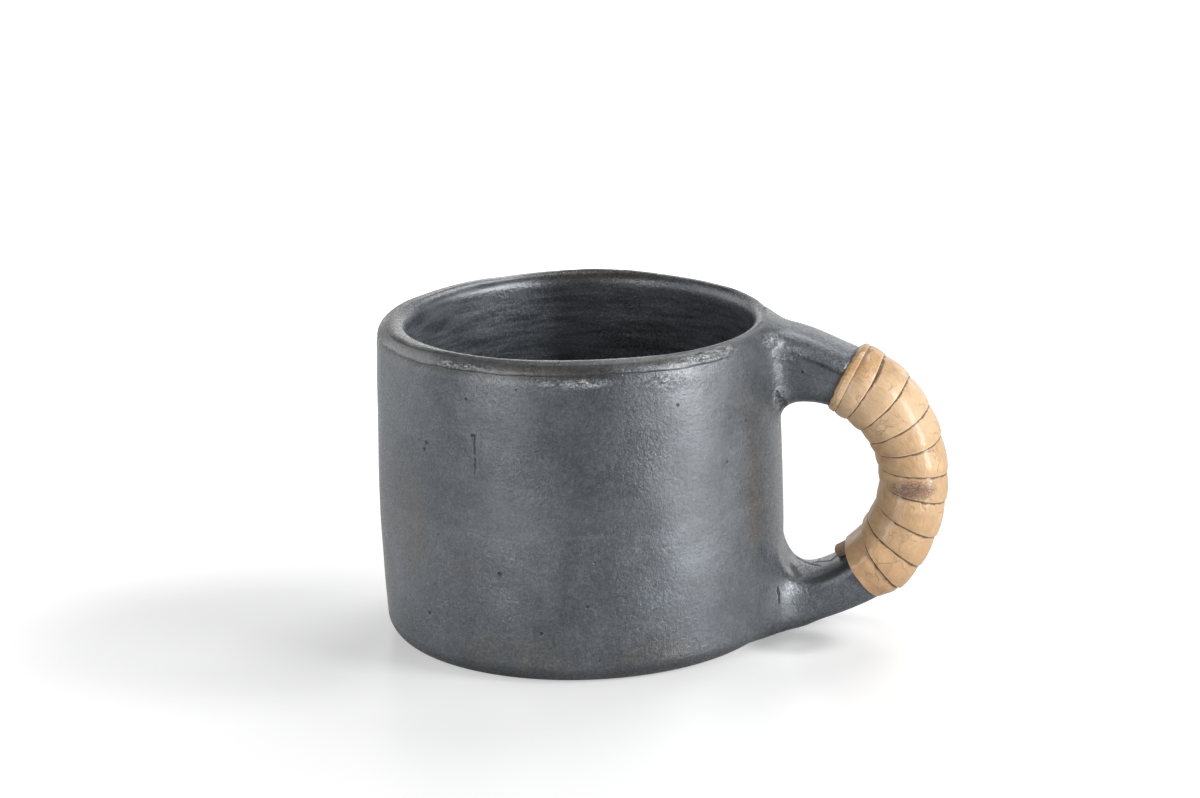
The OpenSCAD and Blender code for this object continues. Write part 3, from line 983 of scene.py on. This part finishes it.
def all_flaws(n):
    """Cracks, pits and torn grit."""
    torn = n.times(n.range(n.scuffs, 0.58, 0.66), n.pressed)
    wobble = n.tone(n.range(n.rough_spots, 0.2, 0.8, -0.2, 0.2, smooth=False))
    wobbly = n.vector("ADD", {0: n.place, 1: wobble})
    cracks = [n.line(wobbly, *crack) for crack in CRACKS]
    holes = [n.near(point, (radius,) * 3, wobbly) for point, radius in PITS]
    small_pits = n.times(n.pits(PIT_APART, PIT_SIZE, PIT_SHARE), n.range(n.inside, 1, 0))
    return n.most([torn, small_pits] + cracks + holes)


def fired(n):
    """Grey clay, paler and darker by the stroke of the burnishing stone, and its browns, some of
    them painted shade, with painted shade darkening the foot.
    """
    colour = n.blend(n.spread(n.mottle), DARK_GREY, PALE_GREY)
    colour = n.shaded(colour, n.spread(n.clouds, 0.86, 1.14))
    # Brown places, among them painted shade beside the handle and along the foot
    brown = n.times(n.near_any(BROWN_AND_SHADE_PLACES), n.range(n.mottle, 0.35, 0.6, 0.1, 0.55))
    brown_rim = n.times(n.rim, n.range(n.clouds, 0.38, 0.6, 0.2, 0.7))
    colour = n.blend(n.most([brown, brown_rim]), colour, BROWN_GREY)
    # The rim darker at the back and along its front
    colour = n.stained(colour, BACK_RIM_BLACK, n.darkened_back, 0.85)
    colour = n.stained(colour, FRONT_RIM_BLACK, n.near(*DARKENED_FRONT_RIM), 0.65)
    colour = n.shaded(colour, n.grain)
    # Painted shade: darker towards the foot, where it meets the table
    return n.shaded(colour, n.range(n.z, *FOOT_SHADE_Z, 0.55, 1.0))


def sooty(n, colour):
    """The inside is sooty, with level strokes left by the potter's fingers, and is painted lighter
    towards the left and darker towards the right as painted light and shade.
    """
    soot = n.shaded(SOOT_GREY, n.spread(n.strokes, 0.55, 1.42))
    # Painted light and shade: the inside lighter towards the left, darker towards the right
    soot = n.shaded(soot, n.range(n.x, -22, -6, 2.0, 0.74))
    soot = n.shaded(soot, n.math("MULTIPLY_ADD", n.grain, 0.35, 0.65))
    colour = n.blend(n.inside, colour, soot)
    # Painted highlight, streaked by the strokes, where the lip is rubbed to a polish at the back
    # left
    streaks = n.range(n.strokes, 0.38, 0.58, 0.1, 0.6)
    return n.stained(colour, PAINTED_HIGHLIGHT_GREY, n.polished_and_highlit, streaks)


def creased(n, colour):
    """Painted shade along the creases that the shaping left on the front of the upper arm, and the
    painted shade band along the lower arm.
    """
    front = n.times(n.range(n.run, 6, 9), n.range(n.run, 24, 21), n.range(n.y, -3, -6))
    shift = n.spread(n.rough_spots, -0.25, 0.25)
    slant = n.range(n.run, 6, 20, 3.1, 1.9, smooth=False)
    first, second = (
        n.math("ABSOLUTE", n.total(n.math("SUBTRACT", n.out, line), shift))
        for line in (slant, -1.0))
    crease = n.most([n.range(first, 0.7, 0.1), n.range(second, 0.5, 0.0, 0.0, 0.35)])
    shade = n.times(n.range(n.out, -2.0, 2.2), n.range(n.out, 2.8, 2.4))
    # Painted shade below the first crease, and a dark line of painted shade in each crease
    colour = n.stained(colour, CREASE_SHADE, shade, front, 0.35)
    colour = n.stained(colour, CREASE_SHADE_BLACK, crease, front, 0.75)
    # The painted shade band along the lower arm
    return n.stained(colour, SHADE_BAND_BLACK, n.shade_band, 0.75)


def ledged(n, colour):
    """The ledge under the lip, plainest at the left, with painted shade on the wall just below it.
    Gives its height for the bump too.
    """
    level = n.total(
        n.z, n.spread(n.clouds, -0.35, 0.35), n.range(n.x, *RIGHT_X, 0.0, RIM_DROP_RIGHT))
    on_wall = n.times(n.range(n.axis_far, *WALL_R), n.range(n.x, 40, 34))
    ledge = n.times(n.range(level, LEDGE_Z - 0.2, LEDGE_Z + 0.3), on_wall)
    # Painted shade just below the ledge
    under = n.times(
        n.range(level, LEDGE_Z + 0.1, LEDGE_Z - 0.2),
        n.range(level, LEDGE_Z - 2.0, LEDGE_Z - 0.4), on_wall)
    return n.stained(colour, LEDGE_SHADE_BLACK, under, n.range(n.x, 26, 10, 0.1, 0.6)), ledge


def flawed(n, colour):
    """Dark flaws, and pale flecks of wear that also serve as painted glints."""
    colour = n.stained(colour, FLAW_BLACK, n.flaws, 0.92)
    crumbs = n.math("MULTIPLY_ADD", n.math("SUBTRACT", n.grit, 0.5), 0.9, n.scuffs)
    # Pale flecks: wear, and painted glints along the lip and at the upper root
    some = n.most([n.worn_and_glinting, n.times(n.cracked, 0.45)])
    return n.stained(colour, FLECK_AND_GLINT_PALE, n.range(crumbs, 0.50, 0.40), some, 0.72)


def roughness(n):
    rim_top = n.times(n.rim, n.range(n.axis_far, *RIM_TOP_R))
    return n.total(
        n.spread(n.mottle, 0.19, 0.27),
        n.range(n.sparkle, 0.38, 0.62, -0.09, 0.11),
        n.times(n.inside, 0.04),
        n.range(n.x, 46, 52, 0.0, 0.14),
        n.times(n.darkened_back, 0.1),
        n.times(n.most([n.flaws, n.shade_band]), 0.35),
        n.times(rim_top, 0.16),
        n.times(n.polished_and_highlit, -0.17))


def clay_material():
    n = Clay()
    colour, ledge = ledged(n, creased(n, sooty(n, fired(n))))
    colour = flawed(n, colour)
    normal = n.bumps(
        (n.grit, 0.08), (n.felt, 0.16), (n.strokes, 0.05), (n.mottle, 0.08),
        (n.times(n.scuffs, n.pressed), 0.5), (n.times(n.flaws, -1.0), 0.3), (ledge, 0.25))
    # Painted light: the clay is painted a little lighter along the lower arm
    return n.finish(n.surface(
        Base_Color=n.shaded(colour, n.range(n.run, 70, 85, 1.0, 1.15)),
        Roughness=roughness(n), Normal=normal, Metallic=0.4, IOR=1.7,
        Coat_Weight=0.2, Coat_Roughness=0.24))


# The hide's colours
TAN_DARK, TAN_PALE = (0.485, 0.308, 0.16), (0.575, 0.383, 0.215)
LOWER_BROWN = (0.475, 0.28, 0.142)
CREAM = (0.70, 0.50, 0.32)
ORANGE = (0.50, 0.285, 0.125)
BRUISE_BROWN, WRINKLE_BROWN = (0.25, 0.145, 0.10), (0.09, 0.05, 0.04)
CUT_PALE_AND_HIGHLIT, SEAM_SHADOW_DARK = (0.80, 0.60, 0.40), (0.085, 0.045, 0.022)
CRAZE_BROWN = (0.30, 0.17, 0.085)

# Heights between which the hide turns brown, cream and orange, and its ribs grow plain
BROWN_Z = (30, 14)
CREAM_Z, CREAM_END_Z = (44, 53), (65, 60)
ORANGE_Z = (61, 66)
RIBBED_Z = (56, 65)

# A bruised, wrinkled patch on one turn of the front: point and reach
BRUISE = ((78.5, -9.5, 35.5), (7.5, 6, 3.2))
# Where one seam gapes, so that its painted shadow is wider: on the front of the grip, near its
# upper end
THICK_SEAM = ((70.5, -8.0, 65.0), (6, 8, 5.5))
# The turn whose covered edge hardly shows
FAINT_SEAM = 9.25


class Hide(Nodes):
    """The binding's hide: its noises, and distances from a turn's own edge and from the edge of
    the turn that covers it."""

    def __init__(self):
        super().__init__("bound_hide")
        cover = self.mapped("from_cover")
        self.strip_run, self.below_cover = self.parts(cover)[:2]
        self.to_edge = self.parts(self.mapped("from_edge"))[1]
        self.z = self.parts(self.place)[2]
        self.blotch = self.noise(8, 3, 0.5)
        self.mottle = self.noise(2.2, 3, 0.6)
        self.grain = self.noise(0.5, 3, 0.65)
        self.ribs = self.noise(1.0, 3, 0.6, 0.2, at=self.stretched(cover, (2.2, 0.5, 1)))
        self.upper = self.range(self.z, *RIBBED_Z)


def shifted(n, share):
    """The place moved by a noise, so that a pattern loses its straight lines."""
    return n.vector("ADD", {0: n.place, 1: n.tone(share)})


def tanned(n):
    """Tan hide, ribbed and orange near the top, cream below that, brown at the bottom."""
    colour = n.blend(n.range(n.blotch, 0.35, 0.65), TAN_DARK, TAN_PALE)
    colour = n.shaded(colour, n.spread(n.mottle, 0.90, 1.06))
    ribbed = n.blend(
        n.upper, n.tone(n.spread(n.ribs, 0.94, 1.04)),
        n.tone(n.range(n.ribs, 0.36, 0.64, 0.76, 1.14)))
    colour = n.blend(1.0, colour, ribbed, "MULTIPLY")
    colour = n.blend(n.range(n.z, *BROWN_Z, 0, 0.62), colour, LOWER_BROWN)
    cream = n.times(n.range(n.z, *CREAM_Z), n.range(n.z, *CREAM_END_Z))
    colour = n.stained(colour, CREAM, cream, 0.4)
    return n.stained(colour, ORANGE, n.range(n.z, *ORANGE_Z), 0.7)


def bruised(n, colour):
    """The bruised patch, with its wrinkles. Gives the wrinkles for the bump too."""
    bruise = n.times(n.near(*BRUISE), n.range(n.mottle, 0.3, 0.5, 0.55, 1.0))
    colour = n.stained(colour, BRUISE_BROWN, bruise, 0.95)
    edges = n.cell_edges(n.stretched(shifted(n, n.mottle), (0.8, 1, 1.6)), 1 / 0.9)
    wrinkles = n.times(n.range(edges, 0.10, 0.0), bruise)
    return n.stained(colour, WRINKLE_BROWN, wrinkles, 0.7), wrinkles


def seamed(n, colour):
    """Each turn's cut edge is paler, partly as a painted highlight, and a painted shadow darkens
    the line under it.
    """
    # Paler cut edge, partly a painted highlight
    colour = n.stained(colour, CUT_PALE_AND_HIGHLIT, n.range(n.to_edge, 0.4, 0.12), 0.35)
    gape = n.times(n.near(*THICK_SEAM), 0.6)
    width = n.total(n.spread(n.mottle, 0.34, 0.74), gape)
    # Painted shadow along the line under each covering edge
    seam = n.range(n.math("DIVIDE", n.below_cover, width), 1.0, 0.45)
    from_faint = n.math("SUBTRACT", n.strip_run, FAINT_SEAM * TURN_LENGTH)
    faint = n.range(n.math("ABSOLUTE", from_faint), 0.55 * TURN_LENGTH, 0.45 * TURN_LENGTH)
    return n.stained(colour, SEAM_SHADOW_DARK, seam, n.range(faint, 0, 1, 0.92, 0.35))


def crazed(n, colour):
    """Fine cracks in the varnish. Gives them for the bump too."""
    edges = n.cell_edges(shifted(n, n.range(n.mottle, 0, 1, 0, 3)), 5.0)
    crazing = n.times(n.range(edges, 0.035, 0.01), n.range(n.blotch, 0.5, 0.56))
    return n.stained(colour, CRAZE_BROWN, crazing, 0.22), crazing


def hide_material():
    n = Hide()
    colour, wrinkles = bruised(n, tanned(n))
    colour, crazing = crazed(n, seamed(n, colour))
    lines = n.times(n.most([wrinkles, crazing]), -1.0)
    normal = n.bumps(
        (n.grain, 0.05), (n.times(n.ribs, n.range(n.upper, 0, 1, 0.5, 1.0)), 0.26),
        (n.mottle, 0.28), (lines, 0.15))
    return n.finish(n.surface(
        Base_Color=colour, Roughness=n.spread(n.mottle, 0.45, 0.62), Normal=normal,
        Coat_Weight=0.3, Coat_Roughness=0.14, Subsurface_Weight=0.06, Subsurface_Scale=0.001))


def tucked_material():
    n = Nodes("tucked_hide")
    mottle = n.noise(1.6, 4, 0.6)
    fibre = n.noise(1.0, 3, 0.6, at=n.stretched(n.place, (0.8, 3.0, 1.2)))
    colour = n.blend(n.spread(mottle), (0.21, 0.13, 0.085), (0.38, 0.25, 0.17))
    return n.finish(n.surface(
        Base_Color=n.shaded(colour, n.spread(fibre, 0.75, 1.15)),
        Roughness=n.spread(mottle, 0.5, 0.7), Normal=n.bumps((fibre, 0.08), (mottle, 0.12))))


# The floor glows for the camera alone, less near the mug as painted shade, and keeps the mug's
# shadow
FLOOR_GREY = (0.56, 0.56, 0.56, 1)
FLOOR_GLOW_NEAR, FLOOR_GLOW_FAR = 0.46, 0.92
FLOOR_GLOW_FROM, FLOOR_GLOW_REACH = (0, -60, 0), (60, 420)
# Painted shadows on the floor, of the mug and of its handle: point, reach and depth
FLOOR_SHADES = [
    ((-84, -16, 0), (76, 62, 50), 0.17),
    ((50, -16, 0), (15, 12, 50), 0.28)]
FLOOR_HALF = 4000


def floor_material():
    n = Nodes("pale_floor")
    far = n.vector("DISTANCE", {0: n.place, 1: FLOOR_GLOW_FROM}, "Value")
    glow = n.range(far, *FLOOR_GLOW_REACH, FLOOR_GLOW_NEAR, FLOOR_GLOW_FAR)
    # Painted shadows: the glow is lessened at each shaded place
    for point, reach, depth in FLOOR_SHADES:
        glow = n.math("SUBTRACT", glow, n.times(n.near(point, reach), depth))
    glow = n.times(glow, n.add("LightPath").outputs["Is Camera Ray"])
    paint = n.surface(Base_Color=FLOOR_GREY, Roughness=0.3, Specular_IOR_Level=0.35)
    light = n.add("Emission", {"Color": (1, 1, 1, 1), "Strength": glow}).outputs[0]
    return n.finish(n.add("AddShader", {0: paint, 1: light}).outputs[0])


clay.data.materials.append(clay_material())
strip.data.materials.append(hide_material())
tuck.data.materials.append(tucked_material())

# Floor, light and world
floor_corners = [
    (x * FLOOR_HALF, y * FLOOR_HALF, 0) for x, y in ((-1, -1), (1, -1), (1, 1), (-1, 1))]
floor = new_mesh("floor", floor_corners, [(0, 1, 2, 3)], smooth=False)
floor.data.materials.append(floor_material())


LAMP_TARGET = Vector((0, 0, 0.04))


def softbox(name, azimuth, height, away, size, power):
    """A rectangular lamp that faces the mug. Azimuth turns right from the camera's side."""
    data = bpy.data.lights.new(name, "AREA")
    data.shape = "RECTANGLE"
    data.size, data.size_y = size
    data.energy = power
    lamp = bpy.data.objects.new(name, data)
    turn = math.radians(azimuth)
    level = camera_direction(math.sin(turn), -math.cos(turn), 0)
    place = level * away + Vector((0, 0, height))
    facing = (LAMP_TARGET - place).to_track_quat("-Z", "Y").to_matrix().to_4x4()
    lamp.matrix_world = Matrix.Translation(place) @ facing
    lamp.visible_camera = False
    bpy.context.scene.collection.objects.link(lamp)


softbox("right_box", 59, 0.14, 0.5, (0.16, 0.40), 3.2)
softbox("right_panel", 92, 0.32, 1.0, (0.6, 0.6), 1.8)
softbox("left_box", -42, 0.22, 0.62, (0.22, 0.44), 2.1)
softbox("left_panel", -110, 0.36, 1.0, (1.3, 0.7), 5.4)
softbox("back_box", 170, 0.2, 1.0, (1.3, 0.36), 2.4)
softbox("high_box", 148, 0.85, 0.6, (0.45, 0.45), 4.2)

WORLD_LIGHT = 0.08


def place_world():
    """A weak white world, which the camera alone sees at full strength."""
    world = bpy.data.worlds.new("studio")
    world.use_nodes = True
    nodes, links = world.node_tree.nodes, world.node_tree.links
    path = nodes.new("ShaderNodeLightPath")
    strength = nodes.new("ShaderNodeMapRange")
    strength.inputs["To Min"].default_value = WORLD_LIGHT
    strength.inputs["To Max"].default_value = 1
    links.new(path.outputs["Is Camera Ray"], strength.inputs["Value"])
    links.new(strength.outputs[0], nodes["Background"].inputs["Strength"])
    nodes["Background"].inputs["Color"].default_value = (1, 1, 1, 1)
    bpy.context.scene.world = world


place_world()
bpy.context.scene.view_settings.view_transform = "Standard"
